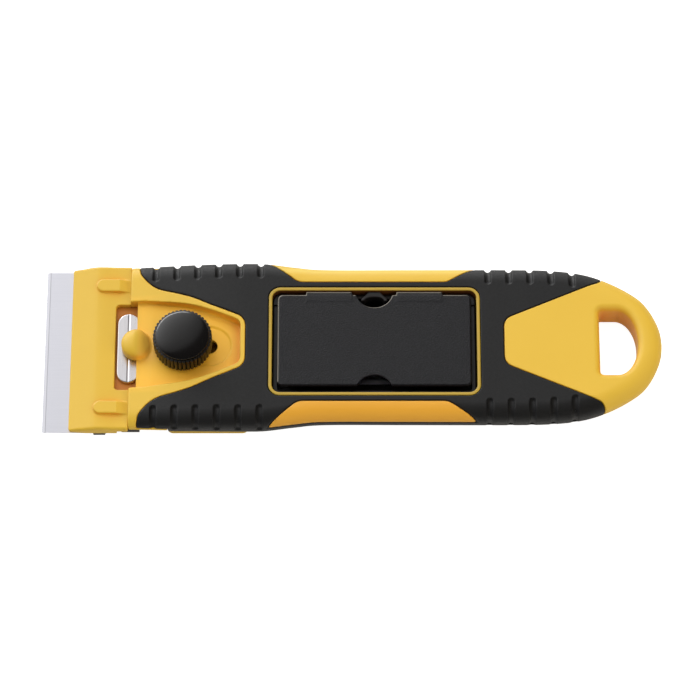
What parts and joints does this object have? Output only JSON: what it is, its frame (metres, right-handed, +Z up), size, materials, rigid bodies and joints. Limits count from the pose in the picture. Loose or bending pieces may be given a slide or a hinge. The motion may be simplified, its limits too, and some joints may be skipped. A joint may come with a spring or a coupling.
{
  "type": "hand scraper",
  "caption": "Hand scraper: wide blade on a sliding carriage clamped by a knurled knob, rubber gripped handle, hinged spare blade store and a hanging hole.",
  "frame": {"origin": "under the middle of the whole tool, on the surface that it rests on", "axes": "+X from the blade to the hanging hole, +Y to the hinge side of the lid, +Z up out of the knob side"},
  "size_m": [0.2098, 0.0616, 0.0186],
  "materials": {
    "yellow_plastic": "satin moulded yellow plastic",
    "black_rubber": "matt black overmoulded rubber",
    "black_plastic": "satin black plastic",
    "grained_plastic": "black plastic with a fine leather grain",
    "gloss_plastic": "polished black plastic",
    "blade_steel": "ground carbon steel",
    "key_steel": "bright pressed steel",
    "steel": "plain zinc plated steel"
  },
  "bodies": {
    "handle": {"handle_core": "yellow_plastic", "grip_overmould": "black_rubber", "head_cover": "yellow_plastic", "base_cover": "yellow_plastic", "base_screw_1": "steel", "base_screw_2": "steel", "base_screw_3": "steel", "base_screw_4": "steel", "head_screw_1": "steel", "head_screw_2": "steel", "spare_tray": "black_plastic", "spare_blade_1": "blade_steel", "spare_blade_2": "blade_steel", "spare_blade_3": "blade_steel"},
    "blade_carriage": {"slider_plate": "yellow_plastic", "blade": "blade_steel", "blade_bed": "black_plastic", "blade_key": "key_steel", "bed_rivet_1": "steel", "bed_rivet_2": "steel", "clamp_nut": "steel", "knob_washer": "steel"},
    "clamp_knob": {"knob": "black_plastic", "knob_cap": "gloss_plastic", "knob_stud": "steel"},
    "lid": {"tray_lid": "grained_plastic"}
  },
  "joints": [
    {"name": "blade_slide", "type": "slide", "parent": "handle", "child": "blade_carriage", "axis": [1, 0, 0], "range_m": [0, 0.009]},
    {"name": "knob_turn", "type": "hinge", "parent": "blade_carriage", "child": "clamp_knob", "pos_m": [-0.05758, 0, 0.0092], "axis": [0, 0, 1], "range_deg": [0, 720]},
    {"name": "lid_hinge", "type": "hinge", "parent": "handle", "child": "lid", "pos_m": [0.00732, 0.0171, 0.0108], "axis": [-1, 0, 0], "range_deg": [0, 95]}
  ]
}
